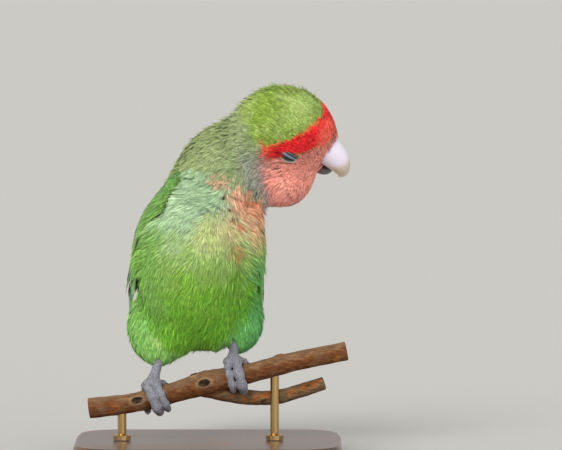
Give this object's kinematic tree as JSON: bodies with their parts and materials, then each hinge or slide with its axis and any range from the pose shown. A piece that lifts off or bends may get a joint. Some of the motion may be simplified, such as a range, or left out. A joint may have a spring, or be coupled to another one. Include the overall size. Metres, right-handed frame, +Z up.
{
  "type": "peach-faced lovebird model",
  "caption": "Life-size still model of a peach-faced lovebird dozing on a cut branch, head bowed to its left, held by a plain flat base with rods.",
  "frame": {"origin": "middle of the underside of the stand's base", "axes": "+Z up, the bird's breast faces -Y, its tail +Y, and +X is its left side, towards which its head turns"},
  "size_m": [0.099, 0.1133, 0.1351],
  "materials": {
    "crown_plumage": "dense soft feathers, yellow-green crown with a red forehead and salmon cheeks",
    "neck_plumage": "soft fluffed feathers, grey-green",
    "body_plumage": "soft hair-like feathers, mint breast to bright yellow-green belly",
    "wing_plumage": "overlapping vanes, green with darker edges",
    "tail_plumage": "overlapping vanes, green",
    "thigh_plumage": "soft fluffed feathers, pale green",
    "bill_horn": "smooth pale horn",
    "lower_bill_horn": "smooth greyish horn",
    "eye": "wet and glossy",
    "eyelid": "fine bare skin with a pale rim",
    "leg_skin": "scaly bluish grey skin",
    "claw": "dark grey horn",
    "bark": "rough bark with knots",
    "stand_wood": "stained and satin varnished",
    "stand_brass": "satin"
  },
  "bodies": {
    "root": {"head": "crown_plumage", "neck": "neck_plumage", "torso": "body_plumage", "wing_right": "wing_plumage", "wing_left": "wing_plumage", "tail": "tail_plumage", "thigh_right": "thigh_plumage", "thigh_left": "thigh_plumage", "bill_upper": "bill_horn", "bill_lower": "lower_bill_horn", "eye_right": "eye", "eye_left": "eye", "eyelids_right": "eyelid", "eyelids_left": "eyelid", "leg_right": "leg_skin", "leg_left": "leg_skin", "perch": "bark", "stand_base": "stand_wood", "stand_rod_1": "stand_brass", "stand_rod_2": "stand_brass", "claw_right_inner_front": "claw", "claw_right_outer_front": "claw", "claw_right_inner_rear": "claw", "claw_right_outer_rear": "claw", "claw_left_inner_front": "claw", "claw_left_outer_front": "claw", "claw_left_inner_rear": "claw", "claw_left_outer_rear": "claw"}
  },
  "joints": []
}
